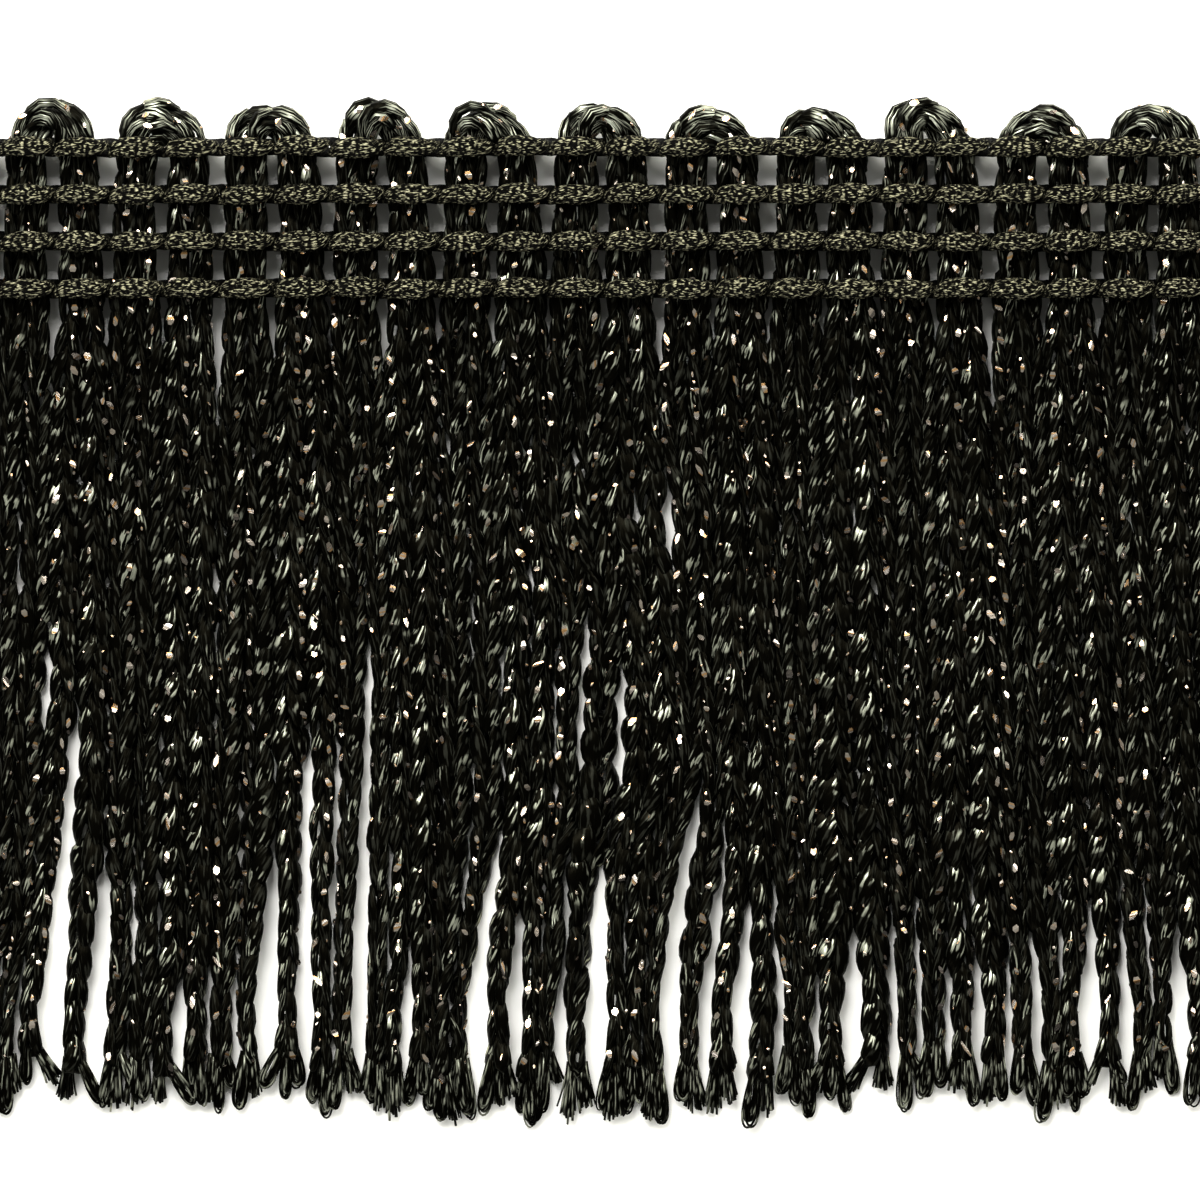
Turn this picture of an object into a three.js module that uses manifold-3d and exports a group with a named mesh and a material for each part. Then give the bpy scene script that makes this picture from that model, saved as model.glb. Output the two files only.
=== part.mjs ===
// A cut length of chainette fringe, lying face up on a flat surface.
//
// A doubled chainette runs up one heading column, over a scallop and down the next column, and its
// four ends hang below as strands. Four rows of twined cord hold the columns side by side: in each
// row one cord passes over the columns, one passes under them, and they meet between columns.
//
// X runs along the trim, Y points from the strand tips to the scallops, Z points up from the surface.

import * as THREE from 'three';
import { mergeVertices } from 'three/addons/utils/BufferGeometryUtils.js';
import Module from 'manifold-3d';

const wasm = await Module();
wasm.setup();

// Driving dimensions, in millimetres
const DROP = 50.8; // highest scallop to longest strand tip
const LOOP_COUNT = 13;
const COLUMN_PITCH = 2.71;
const PIECE_GAP = 0.3; // clear space between pieces that rest on each other

// Chainette in the heading
const COLUMN_STRAND = 0.92; // width of one chainette, pressed flat
const COLUMN_PAIR = 0.86; // between the two chainettes of one column
const COLUMN_THICKNESS = 1.0;
const SCALLOP_STEPS = 6;

// Heading cords
const ROW_COUNT = 4;
const ROW_PITCH = 2.32;
const CORD_WIDTH = 1.05; // across the oval over a column
const CORD_NECK = 0.46; // across the cord where the pair meets
const OVAL_HALF_LENGTH = 0.55; // the oval keeps its full width this far from the column's middle
const FRONT_CORD_THICKNESS = 0.6;
const FRONT_NECK_THICKNESS = 0.35;
const BACK_CORD_THICKNESS = 0.45;
const CROSSING_WIDTH = 0.3;
const CROSSING_DEPTH = 0.2;
const CROSSING_DROP = 0.11; // the pair meets this far below the row's middle
const CORD_STUB = 0.2; // cut end of the cords past the outer columns
const ROW_TO_SCALLOP = 0.1; // the first row lies this far above the centre of a scallop with no lift

// Strands below the heading
const STRAND_WIDTH = 1.0;
const STRAND_THICKNESS = 0.9;
const FAN_LENGTH = 2.5; // columns spread into an even curtain over this length
const SETTLE_LENGTH = 8; // and come down to the surface over this one
const FLARE = 0.055; // the curtain is this much wider at the tips
const WIDEST_LEVEL = -19; // where every parting is widest
const CLOSED_LEVEL = -23.4; // where the tufts have closed every parting
const CLOSING_LENGTH = 3;
const PARTING_CURVE = 2.5;
const THIN_SHARE = 0.3; // of a parting's width that it has soon after it opens
const THIN_LENGTH = 1.5; // and how soon
const CUT_SPREAD = 0.4; // how unevenly the strands of one loop are cut
const CUT_TURN = 2.4; // of that unevenness from strand to strand, in radians
const STRAND_LEVELS = [13.8, 12.5, 9.5, 7, 0, -5, -10, -14, -16.5, WIDEST_LEVEL, -21, -23];

// Each loop of doubled chainette, judged by eye: how high and how far aside its scallop stands, and
// about how much shorter than the longest strand its strands are cut
const LOOPS = [
  { lift: 0, lean: -0.2, trim: 0.75 },
  { lift: 0.2, lean: 0, trim: 1 },
  { lift: 0.2, lean: -0.4, trim: 0.75 },
  { lift: -0.1, lean: -0.4, trim: 1 },
  { lift: 0.2, lean: -0.4, trim: 0.75 },
  { lift: 0, lean: -0.6, trim: 0.5 },
  { lift: 0, lean: -0.4, trim: 0.5 },
  { lift: -0.1, lean: -0.4, trim: 0.5 },
  { lift: -0.3, lean: -0.4, trim: 0.75 },
  { lift: 0.2, lean: -0.8, trim: 1.25 },
  { lift: -0.1, lean: -0.2, trim: 0.75 },
  { lift: -0.1, lean: 0, trim: 1.25 },
  { lift: 0, lean: -0.2, trim: 0.75 },
];

// Partings of the curtain, judged by eye: the strand to the left of each, the level where it opens,
// its place there, its place where it is widest, and its clear width there
const PARTINGS = [
  { after: 1, opens: -13, top: -32.75, widest: -34, clear: 0.8 },
  { after: 4, opens: -16, top: -29.25, widest: -30.25, clear: 0.5 },
  { after: 6, opens: -4.5, top: -26, widest: -27.25, clear: 1.1 },
  { after: 7, opens: -11.75, top: -24.5, widest: -25, clear: 1.15 },
  { after: 10, opens: -17, top: -20.5, widest: -21, clear: 0.5 },
  { after: 12, opens: -15, top: -18, widest: -18.25, clear: 0.25 },
  { after: 13, opens: -11.75, top: -16.25, widest: -16.5, clear: 1.15 },
  { after: 14, opens: -5.75, top: -14.5, widest: -14.75, clear: 0.95 },
  { after: 16, opens: -1, top: -11.5, widest: -12, clear: 0.9 },
  { after: 18, opens: -16, top: -9.5, widest: -9.75, clear: 0.5 },
  { after: 21, opens: -11, top: -5.25, widest: -6.25, clear: 1.1 },
  { after: 22, opens: -14.25, top: -4, widest: -4.25, clear: 0.85 },
  { after: 24, opens: -17.25, top: -2, widest: -2.25, clear: 0.65 },
  { after: 25, opens: -13, top: 0, widest: -0.25, clear: 1 },
  { after: 28, opens: -6.75, top: 4.75, widest: 3.25, clear: 0.95 },
  { after: 29, opens: -11.5, top: 6, widest: 5, clear: 0.6 },
  { after: 30, opens: -13.25, top: 7.25, widest: 6.75, clear: 1 },
  { after: 31, opens: -15.75, top: 8.5, widest: 8.75, clear: 0.55 },
  { after: 33, opens: -18.25, top: 10.5, widest: 10.5, clear: 0.6 },
  { after: 34, opens: -14.5, top: 12.5, widest: 12.25, clear: 1.1 },
  { after: 35, opens: -18.25, top: 14.25, widest: 14.5, clear: 0.3 },
  { after: 36, opens: -14.25, top: 15.5, widest: 15.5, clear: 0.3 },
  { after: 37, opens: -17.5, top: 17, widest: 17, clear: 0.4 },
  { after: 38, opens: -16.25, top: 18.25, widest: 18.5, clear: 0.5 },
  { after: 39, opens: -18.25, top: 20, widest: 20, clear: 0.35 },
  { after: 40, opens: -14.5, top: 21, widest: 21.5, clear: 0.5 },
  { after: 42, opens: -13.5, top: 24, widest: 24, clear: 1 },
  { after: 43, opens: -15.5, top: 25.5, widest: 25.75, clear: 0.75 },
  { after: 45, opens: -14.5, top: 28.25, widest: 28.5, clear: 0.8 },
  { after: 48, opens: -12.5, top: 32.5, widest: 33.25, clear: 0.9 },
];

// Worked out from the driving dimensions
const STRANDS_PER_LOOP = 4;
const STRAND_COUNT = LOOP_COUNT * STRANDS_PER_LOOP;
const COLUMN_COUNT = LOOP_COUNT * 2;
const TRIM_LENGTH = COLUMN_COUNT * COLUMN_PITCH;
const STRAND_PITCH = COLUMN_PITCH / 2;
const OUTER_RADIUS = (COLUMN_PITCH + COLUMN_PAIR) / 2;
const INNER_RADIUS = (COLUMN_PITCH - COLUMN_PAIR) / 2;
const SCALLOP_REACH = OUTER_RADIUS + COLUMN_STRAND / 2;
const HIGHEST_LIFT = Math.max(...LOOPS.map((loop) => loop.lift));
const SCALLOP_CENTRE = DROP / 2 - SCALLOP_REACH - HIGHEST_LIFT; // of a scallop with no lift
const FIRST_ROW = SCALLOP_CENTRE + ROW_TO_SCALLOP;
const LAST_ROW = FIRST_ROW - (ROW_COUNT - 1) * ROW_PITCH;
const HEADING_FOOT = LAST_ROW - CORD_WIDTH;
const LONGEST_TIP = -DROP / 2;
const COLUMN_FLOOR = BACK_CORD_THICKNESS + PIECE_GAP;
const FRONT_CORD_FLOOR = COLUMN_FLOOR + COLUMN_THICKNESS + PIECE_GAP;
const CUTS = Array.from({ length: STRAND_COUNT }, (_, strand) => {
  const { trim } = LOOPS[Math.floor(strand / STRANDS_PER_LOOP)];
  return trim + CUT_SPREAD * Math.sin(CUT_TURN * strand);
});
const LEAST_CUT = Math.min(...CUTS);

const BLACK_CHAINETTE = { color: 0x0b0d0c, roughness: 0.4, metalness: 0.1 };
const BROWN_BLACK_CORD = { color: 0x26221e, roughness: 0.75, metalness: 0 };

const SQUARE = [[-0.5, 0], [0.5, 0], [0.5, 1], [-0.5, 1]];
const DOMED = [[-0.5, 0], [0.5, 0], [0.3, 1], [-0.3, 1]];

const clamp01 = (value) => Math.min(1, Math.max(0, value));
const ease = (value) => clamp01(value) ** 2 * (3 - 2 * clamp01(value));
const mix = (a, b, share) => a + (b - a) * share;

/** A closed bar whose section is carried through the stations, wide along side and tall along Z. */
function bar(section, stations) {
  const outline = new THREE.Shape(section.map(([across, up]) => new THREE.Vector2(across, up)));
  const steps = stations.length - 1;
  const geometry = new THREE.ExtrudeGeometry(outline, { depth: 1, steps, bevelEnabled: false });
  const points = geometry.getAttribute('position');
  const point = new THREE.Vector3();
  for (let i = 0; i < points.count; i += 1) {
    point.fromBufferAttribute(points, i);
    const { x, y, side, width, floor, thickness } = stations[Math.round(point.z * steps)];
    points.setXYZ(
      i,
      x + side[0] * point.x * width,
      y + side[1] * point.x * width,
      floor + point.y * thickness,
    );
  }
  return geometry;
}

/** The closed geometry as a solid that can be joined to others. */
function solid(geometry) {
  geometry.deleteAttribute('normal');
  geometry.deleteAttribute('uv');
  const merged = mergeVertices(geometry);
  return new wasm.Manifold(new wasm.Mesh({
    numProp: 3,
    vertProperties: new Float32Array(merged.getAttribute('position').array),
    triVerts: new Uint32Array(merged.getIndex().array),
  }));
}

/** A named mesh of a solid, with its own finish. */
function meshOf(name, body, finish) {
  const { vertProperties, triVerts } = body.getMesh();
  const geometry = new THREE.BufferGeometry();
  geometry.setAttribute('position', new THREE.BufferAttribute(vertProperties, 3));
  geometry.setIndex(new THREE.BufferAttribute(triVerts, 1));
  geometry.computeVertexNormals();
  const mesh = new THREE.Mesh(geometry, new THREE.MeshStandardMaterial(finish));
  mesh.name = name;
  return mesh;
}

const loopCentre = (loop) => (loop - (LOOP_COUNT - 1) / 2) * 2 * COLUMN_PITCH;

/** Where a strand leaves the heading: the outer and inner chainette of its loop, left and right. */
function columnX(strand) {
  const offsets = [-OUTER_RADIUS, -INNER_RADIUS, INNER_RADIUS, OUTER_RADIUS];
  return loopCentre(Math.floor(strand / STRANDS_PER_LOOP)) + offsets[strand % STRANDS_PER_LOOP];
}

const fall = (level) => (HEADING_FOOT - level) / (HEADING_FOOT - LONGEST_TIP);
const evenEdge = (edge) => (edge - STRAND_COUNT / 2) * STRAND_PITCH;
const tipLevel = (strand) => LONGEST_TIP + CUTS[strand] - LEAST_CUT;

/** A parting's middle at a level below the heading. */
function partingX({ after, opens, top, widest }, level) {
  if (level > opens) {
    return mix(evenEdge(after + 1), top, (HEADING_FOOT - level) / (HEADING_FOOT - opens));
  }
  return mix(top, widest, clamp01((opens - level) / (opens - WIDEST_LEVEL)));
}

/** A parting's clear width: thin at first, then wider, until the tufts close it. */
function partingWidth({ opens, clear }, level) {
  const thin = ease((opens - level) / THIN_LENGTH);
  const opened = clamp01((opens - level) / (opens - WIDEST_LEVEL)) ** PARTING_CURVE;
  const closed = ease((CLOSED_LEVEL + CLOSING_LENGTH - level) / CLOSING_LENGTH);
  return clear * mix(opened, thin, THIN_SHARE) * (1 - closed);
}

/** The middle and the width of the space that a strand has between two partings. */
function strandRoom(strand, level) {
  const before = PARTINGS.findLast(({ after }) => after < strand);
  const beyond = PARTINGS.find(({ after }) => after >= strand);
  const outer = evenEdge(STRAND_COUNT) * (1 + FLARE * fall(level));
  const left = before ? partingX(before, level) + partingWidth(before, level) / 2 : -outer;
  const right = beyond ? partingX(beyond, level) - partingWidth(beyond, level) / 2 : outer;
  const first = before ? before.after + 1 : 0;
  const last = beyond ? beyond.after : STRAND_COUNT - 1;
  const room = (right - left) / (last - first + 1);
  return { middle: left + (strand - first + 0.5) * room, room };
}

/** Stations of one hanging strand, from the heading down to its cut tip. */
function strandStations(strand, side) {
  const levels = [...STRAND_LEVELS, tipLevel(strand)];
  return levels.map((level) => {
    const fanned = ease((HEADING_FOOT - level) / FAN_LENGTH);
    const settled = ease((HEADING_FOOT - level) / SETTLE_LENGTH);
    const { middle, room } = strandRoom(strand, level);
    return {
      x: mix(columnX(strand), middle, fanned),
      y: level,
      side,
      width: mix(COLUMN_STRAND, Math.min(STRAND_WIDTH, room - PIECE_GAP), fanned),
      floor: mix(COLUMN_FLOOR, 0, settled),
      thickness: mix(COLUMN_THICKNESS, STRAND_THICKNESS, settled),
    };
  });
}

/** One chainette of a loop: up from its left tip, over the scallop and down to its right tip. */
function chainette(loop, radius, leftStrand, rightStrand) {
  const { lift, lean } = LOOPS[loop];
  const centreX = loopCentre(loop);
  const centreY = SCALLOP_CENTRE + lift;
  const heading = { width: COLUMN_STRAND, floor: COLUMN_FLOOR, thickness: COLUMN_THICKNESS };
  const scallop = [];
  for (let step = 0; step <= SCALLOP_STEPS; step += 1) {
    const angle = Math.PI * (1 - step / SCALLOP_STEPS);
    const side = [Math.cos(angle), Math.sin(angle)];
    scallop.push({ x: centreX + radius * side[0], y: centreY + radius * side[1], side, ...heading });
  }
  const [left, right] = [[leftStrand, [-1, 0]], [rightStrand, [1, 0]]].map(([place, side]) => {
    const strand = loop * STRANDS_PER_LOOP + place;
    const foot = { x: columnX(strand), y: HEADING_FOOT, side, ...heading };
    return [foot, ...strandStations(strand, side)];
  });
  const geometry = bar(SQUARE, [...left.reverse(), ...scallop, ...right]);
  const points = geometry.getAttribute('position');
  for (let i = 0; i < points.count; i += 1) {
    const above = Math.max(0, points.getY(i) - centreY);
    points.setX(i, points.getX(i) + lean * above / SCALLOP_REACH);
  }
  return solid(geometry);
}

/** A doubled chainette: two nested chainettes pressed together in the heading. */
function chainetteLoop(loop) {
  const name = `chainette_loop_${String(loop + 1).padStart(2, '0')}`;
  const outer = chainette(loop, OUTER_RADIUS, 0, 3);
  const inner = chainette(loop, INNER_RADIUS, 1, 2);
  return meshOf(name, outer.add(inner), BLACK_CHAINETTE);
}

/** Stations of a cord that swells over each column and narrows where the pair meets. */
function cordStations(rowY, floor, thickness, neckThickness) {
  const side = [0, 1];
  const neck = (x) => ({ x, y: rowY, side, width: CORD_NECK, floor, thickness: neckThickness });
  const oval = (x) => ({ x, y: rowY, side, width: CORD_WIDTH, floor, thickness });
  const stations = [neck(-TRIM_LENGTH / 2 - CORD_STUB)];
  for (let column = 0; column < COLUMN_COUNT; column += 1) {
    const middle = (column + 0.5) * COLUMN_PITCH - TRIM_LENGTH / 2;
    stations.push(oval(middle - OVAL_HALF_LENGTH));
    stations.push(oval(middle + OVAL_HALF_LENGTH));
    stations.push(neck(middle + COLUMN_PITCH / 2));
  }
  stations.at(-1).x += CORD_STUB;
  return stations;
}

/** The short upright stretch where the cord over the columns meets the cord under them. */
function crossing(x, rowY) {
  const foot = BACK_CORD_THICKNESS / 2;
  const top = FRONT_CORD_FLOOR + FRONT_NECK_THICKNESS / 2;
  const geometry = new THREE.BoxGeometry(CROSSING_WIDTH, CROSSING_DEPTH, top - foot);
  geometry.translate(x, rowY - CROSSING_DROP, (foot + top) / 2);
  return solid(geometry);
}

/** One row of the heading: the twined pair of cords around all the columns. */
function headingCord(row) {
  const rowY = FIRST_ROW - row * ROW_PITCH;
  const under = cordStations(rowY, 0, BACK_CORD_THICKNESS, BACK_CORD_THICKNESS);
  const over = cordStations(rowY, FRONT_CORD_FLOOR, FRONT_CORD_THICKNESS, FRONT_NECK_THICKNESS);
  let body = solid(bar(DOMED, under)).add(solid(bar(DOMED, over)));
  const lastEnd = TRIM_LENGTH / 2 + CORD_STUB - CROSSING_WIDTH / 2;
  for (let gap = 0; gap <= COLUMN_COUNT; gap += 1) {
    const x = gap * COLUMN_PITCH - TRIM_LENGTH / 2;
    body = body.add(crossing(THREE.MathUtils.clamp(x, -lastEnd, lastEnd), rowY));
  }
  return meshOf(`heading_cord_${row + 1}`, body, BROWN_BLACK_CORD);
}

const trim = new THREE.Group();
trim.name = 'chainette_fringe_trim';
for (let loop = 0; loop < LOOP_COUNT; loop += 1) {
  trim.add(chainetteLoop(loop));
}
for (let row = 0; row < ROW_COUNT; row += 1) {
  trim.add(headingCord(row));
}

export default trim;
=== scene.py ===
import math
from collections import namedtuple

import bpy
import numpy as np
from bpy.props import FloatProperty, FloatVectorProperty, PointerProperty
from bpy.types import Operator, Panel, PropertyGroup
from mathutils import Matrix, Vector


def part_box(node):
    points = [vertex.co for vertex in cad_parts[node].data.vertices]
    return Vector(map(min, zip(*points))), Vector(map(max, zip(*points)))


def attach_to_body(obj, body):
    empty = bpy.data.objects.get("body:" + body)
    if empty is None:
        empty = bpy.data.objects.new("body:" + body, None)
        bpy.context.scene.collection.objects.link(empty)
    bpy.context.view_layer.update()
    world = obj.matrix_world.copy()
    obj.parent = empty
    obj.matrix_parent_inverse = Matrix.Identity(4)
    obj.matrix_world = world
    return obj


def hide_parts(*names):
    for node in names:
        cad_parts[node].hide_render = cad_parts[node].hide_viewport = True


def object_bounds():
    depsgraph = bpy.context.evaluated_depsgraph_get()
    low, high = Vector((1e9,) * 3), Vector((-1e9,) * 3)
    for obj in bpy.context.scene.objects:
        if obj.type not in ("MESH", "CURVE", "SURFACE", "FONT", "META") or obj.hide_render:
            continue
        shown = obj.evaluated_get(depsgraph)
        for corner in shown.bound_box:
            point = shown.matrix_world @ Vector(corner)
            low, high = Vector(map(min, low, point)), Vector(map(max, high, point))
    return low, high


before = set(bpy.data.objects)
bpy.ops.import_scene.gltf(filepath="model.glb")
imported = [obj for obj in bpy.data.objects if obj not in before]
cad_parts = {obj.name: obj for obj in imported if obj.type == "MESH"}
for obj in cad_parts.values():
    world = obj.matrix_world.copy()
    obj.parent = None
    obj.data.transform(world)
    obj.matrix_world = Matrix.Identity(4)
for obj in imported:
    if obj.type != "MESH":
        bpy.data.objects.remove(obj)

bl_info = {
    "name": "Chainette Fringe Trim",
    "version": (1, 0, 0),
    "blender": (4, 5, 0),
    "location": "3D View > Sidebar > Fringe",
    "description": "Knits a length of black chainette fringe with metallic film onto its frame",
    "category": "Add Mesh",
}

CAD_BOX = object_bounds()
MM = 0.001
BODY = "root"
UP = np.array([0.0, 0.0, 1.0])
YARN_MAP = "yarn"           # each piece's map: turns round it, and millimetres or facets along it
PAINTED_HIGHLIGHT = "painted_highlight"             # painted highlight: how much each point of the knitted yarn shines, laid where the lights fall

# The trim's layout, read from the frame
LOOP_NODES = sorted(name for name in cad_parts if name.startswith("chainette_loop_"))
ROW_NODES = sorted(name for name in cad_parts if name.startswith("heading_cord_"))
LOOP_COUNT = len(LOOP_NODES)
COLUMN_COUNT = 2 * LOOP_COUNT
STRANDS_PER_LOOP = 4
STRAND_COUNT = STRANDS_PER_LOOP * LOOP_COUNT
CORD_STUB = 0.2 * MM        # cut end of the cords past the outer columns
ROW_TO_SCALLOP = 0.1 * MM   # the first row lies this far above the scallops' base
ROW_BOXES = [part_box(name) for name in ROW_NODES]
TRIM_LENGTH = ROW_BOXES[0][1][0] - ROW_BOXES[0][0][0] - 2 * CORD_STUB
COLUMN_PITCH = TRIM_LENGTH / COLUMN_COUNT
STRAND_PITCH = COLUMN_PITCH / 2
ROW_LEVELS = [(low[1] + high[1]) / 2 for low, high in ROW_BOXES]
CORD_BREADTH = ROW_BOXES[0][1][1] - ROW_BOXES[0][0][1]
HEADING_TOP = ROW_BOXES[0][1][2]
HEADING_FOOT = ROW_LEVELS[-1] - CORD_BREADTH
LONGEST_TIP = CAD_BOX[0][1]
SCALLOP_BASE = ROW_LEVELS[0] - ROW_TO_SCALLOP

# How the curtain of strands spreads below the heading
FAN_START = HEADING_FOOT + 0.5 * MM
FAN_LENGTH = 2.4 * MM       # over which the columns spread, except at these gaps between columns
LONG_FANS = {3: 5.0 * MM, 6: 6.5 * MM, 9: 4.5 * MM, 14: 5.5 * MM, 20: 6.0 * MM, 22: 4.0 * MM}
SETTLE_LENGTH = 8 * MM      # over which the strands come down to the surface
FLARE = 0.055               # how much wider the curtain is at the tips
WIDEST = -19.0 * MM         # level where the partings are widest
CLOSED = -24.0 * MM         # level where the tufts have closed them
CLOSING = 4.2 * MM          # and the length over which they do
PARTING_CURVE = 2.5
THIN_SHARE = 0.3            # of a parting's width that it has soon after it opens
THIN_LENGTH = 1.5 * MM      # and how soon
CUT_SPREAD = 0.4 * MM       # how unevenly the strands of one loop are cut
CUT_TURN = 2.4              # of that unevenness from strand to strand, in radians

# Each loop, judged in millimetres: how high and how far aside its scallop stands, which
# chainette lies on top where the two cross, and about how much shorter its strands are cut
Loop = namedtuple("Loop", "lift lean cross trim")
LOOPS = (
    Loop(0.0, -0.2, "nested", 0.75),
    Loop(0.2, 0.0, "left", 1.0),
    Loop(0.2, -0.4, "nested", 0.75),
    Loop(-0.1, -0.4, "right", 1.0),
    Loop(0.2, -0.4, "right", 0.75),
    Loop(0.0, -0.6, "left", 0.5),
    Loop(0.0, -0.4, "right", 0.5),
    Loop(-0.1, -0.4, "nested", 0.5),
    Loop(-0.3, -0.4, "left", 0.75),
    Loop(0.2, -0.8, "right", 1.25),
    Loop(-0.1, -0.2, "nested", 0.75),
    Loop(-0.1, 0.0, "left", 1.25),
    Loop(0.0, -0.2, "right", 0.75),
)
CUTS = [LOOPS[strand // STRANDS_PER_LOOP].trim * MM + CUT_SPREAD * math.sin(CUT_TURN * strand)
        for strand in range(STRAND_COUNT)]
TIP_LEVELS = [LONGEST_TIP + cut - min(CUTS) for cut in CUTS]

# Partings of the curtain, judged in millimetres: the strand to the left of each, the level
# where it opens, its place there, its place where it is widest, and its clear width there
Parting = namedtuple("Parting", "after opens top widest clear")
PARTINGS = (
    Parting(1, -13.0, -32.75, -34.0, 0.8),
    Parting(4, -16.0, -29.25, -30.25, 0.5),
    Parting(6, -4.5, -26.0, -27.25, 1.1),
    Parting(7, -11.75, -24.5, -25.0, 1.15),
    Parting(10, -17.0, -20.5, -21.0, 0.5),
    Parting(12, -15.0, -18.0, -18.25, 0.25),
    Parting(13, -11.75, -16.25, -16.5, 1.15),
    Parting(14, -5.75, -14.5, -14.75, 0.95),
    Parting(16, -1.0, -11.5, -12.0, 0.9),
    Parting(18, -16.0, -9.5, -9.75, 0.5),
    Parting(21, -11.0, -5.25, -6.25, 1.1),
    Parting(22, -14.25, -4.0, -4.25, 0.85),
    Parting(24, -17.25, -2.0, -2.25, 0.65),
    Parting(25, -13.0, 0.0, -0.25, 1.0),
    Parting(28, -6.75, 4.75, 3.25, 0.95),
    Parting(29, -11.5, 6.0, 5.0, 0.6),
    Parting(30, -13.25, 7.25, 6.75, 1.0),
    Parting(31, -15.75, 8.5, 8.75, 0.55),
    Parting(33, -18.25, 10.5, 10.5, 0.6),
    Parting(34, -14.5, 12.5, 12.25, 1.1),
    Parting(35, -18.25, 14.25, 14.5, 0.3),
    Parting(36, -14.25, 15.5, 15.5, 0.3),
    Parting(37, -17.5, 17.0, 17.0, 0.4),
    Parting(38, -16.25, 18.25, 18.5, 0.5),
    Parting(39, -18.25, 20.0, 20.0, 0.35),
    Parting(40, -14.5, 21.0, 21.5, 0.5),
    Parting(42, -13.5, 24.0, 24.0, 1.0),
    Parting(43, -15.5, 25.5, 25.75, 0.75),
    Parting(45, -14.5, 28.25, 28.5, 0.8),
    Parting(48, -12.5, 32.5, 33.25, 0.9),
)

# Short slits higher up, in millimetres: the strand to the left, the slit's middle level, half its
# length, its clear width and how far it stands aside
Slit = namedtuple("Slit", "after middle reach clear aside")
SLITS = (
    Slit(27, 4.5, 3.0, 0.4, 0.25),
    Slit(24, -4.0, 6.0, 0.4, 0.95),
    Slit(25, -5.5, 5.0, 0.65, 0.0),
    Slit(5, -3.0, 4.0, 0.2, 0.0),
)
SLIT_STEEPNESS = 1.5        # how fast a slit opens from its ends
CARRY_PAST = 0.7            # how far it carries strands aside at its ends, before easing
PUSHED_STRANDS = 4          # to each side, that a slit pushes apart
CARRIED_STRANDS = 5         # to each side, that move aside with it

# How the chainettes lie
TUFT_LENGTH = 2.5 * MM      # of the frayed end past the last stitch
STRAND_RIDE = 0.47 * MM     # middle of a strand above the surface
HEADING_RIDE = 1.25 * MM    # middle of a heading column above the surface
OVERLAP = 1.26              # of neighbouring strands
CLEAR_OVERLAP = 1.04        # of a strand beside a parting or a slit
CLEAR_GAP = 0.15 * MM       # width of a parting that a strand keeps clear of
LEAST_WIDTH = 0.95 * MM     # of a strand that its neighbours crowd
HEADING_WIDTH = 1.12 * MM   # of a chainette in the heading
SCALLOP_WIDTH = 1.5 * MM    # of a chainette at the crest of its scallop
SCALLOP_RISE = 2.24 * MM    # of a scallop with no lift, over its base
SCALLOP_PINCH = 0.15        # how much a scallop closes in above its columns
CREST_SHARE = 0.42          # of a chainette's width from its middle to the crest
CROSS_LIFT = 0.42 * MM      # where one chainette passes over the other in a scallop
INNER_BULGE = 0.65 * MM     # of an inner chainette over the first row of cord
BULGE = 0.15 * MM           # of the others
SWAY = 0.04 * MM            # of a hanging strand from side to side
RIPPLE = 0.05 * MM          # of a hanging strand off the surface
SWAY_KNOTS = 9              # of the random walk of each
LOOSE_FROM = -4 * MM        # level where the chainettes begin to roll more
LOOSE_LENGTH = 12 * MM      # and the length over which they come to
HIGH_ROLL = 0.25            # about the chainette's own line, in radians
LOW_ROLL = 0.55
ROLL_KNOTS = 14             # of its random walk
HANGING_POINTS = 64
SCALLOP_POINTS = 22
CHAINETTE_POINTS = 420

# One stitch of the chain: the yarn leaves the stitch before it, runs up the left leg, round the head
# behind the next stitch, down the right leg, and up the back to the next stitch. across and out are
# shares of the leg spacing and the depth, along is a share of the stitch, facing is the way the flat
# of the yarn looks, and breadth is a share of the yarn's own
StitchPoint = namedtuple("StitchPoint", "across along out facing_across facing_out breadth")
STITCH = (
    StitchPoint(-0.15, 0.00, -0.30, -0.80, 0.50, 0.60),
    StitchPoint(-0.60, 0.34, 0.60, -0.30, 0.95, 0.95),
    StitchPoint(-1.00, 0.76, 0.85, -0.40, 0.92, 1.00),
    StitchPoint(-1.15, 1.16, 0.40, -0.70, 0.71, 0.80),
    StitchPoint(-0.75, 1.52, -0.55, -0.90, -0.43, 0.55),
    StitchPoint(0.75, 1.52, -0.55, 0.90, -0.43, 0.55),
    StitchPoint(1.15, 1.16, 0.40, 0.70, 0.71, 0.80),
    StitchPoint(1.00, 0.76, 0.85, 0.40, 0.92, 1.00),
    StitchPoint(0.60, 0.34, 0.60, 0.30, 0.95, 0.95),
    StitchPoint(0.15, 0.00, -0.30, 0.80, 0.50, 0.60),
    StitchPoint(0.25, 0.25, -1.15, 0.30, -0.95, 0.80),
    StitchPoint(-0.05, 0.68, -1.20, -0.10, -1.00, 0.80),
)
SAMPLES_PER_STITCH = 20
YARN_CORNERS = 8

# How uneven the knitting is
STITCH_DRIFT = 0.12         # of the yarn along the chainette, in stitches
CHAINETTE_UNEVEN = 0.05     # share of the chainette's breadth
YARN_JITTER = 0.05 * MM     # of the yarn across and outward
BREADTH_UNEVEN = 0.16       # share of the yarn's breadth
THICKNESS_UNEVEN = 0.08     # share of the yarn's thickness
HEADING_PLUMP = 1.25        # thickness in the heading, as a share of a strand's
HEADING_BLEND = 1.5 * MM    # length over which the strands come to it
LEG_OUTSIDE = 0.46          # share of the yarn's breadth that stands outside the middle of a leg

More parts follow.
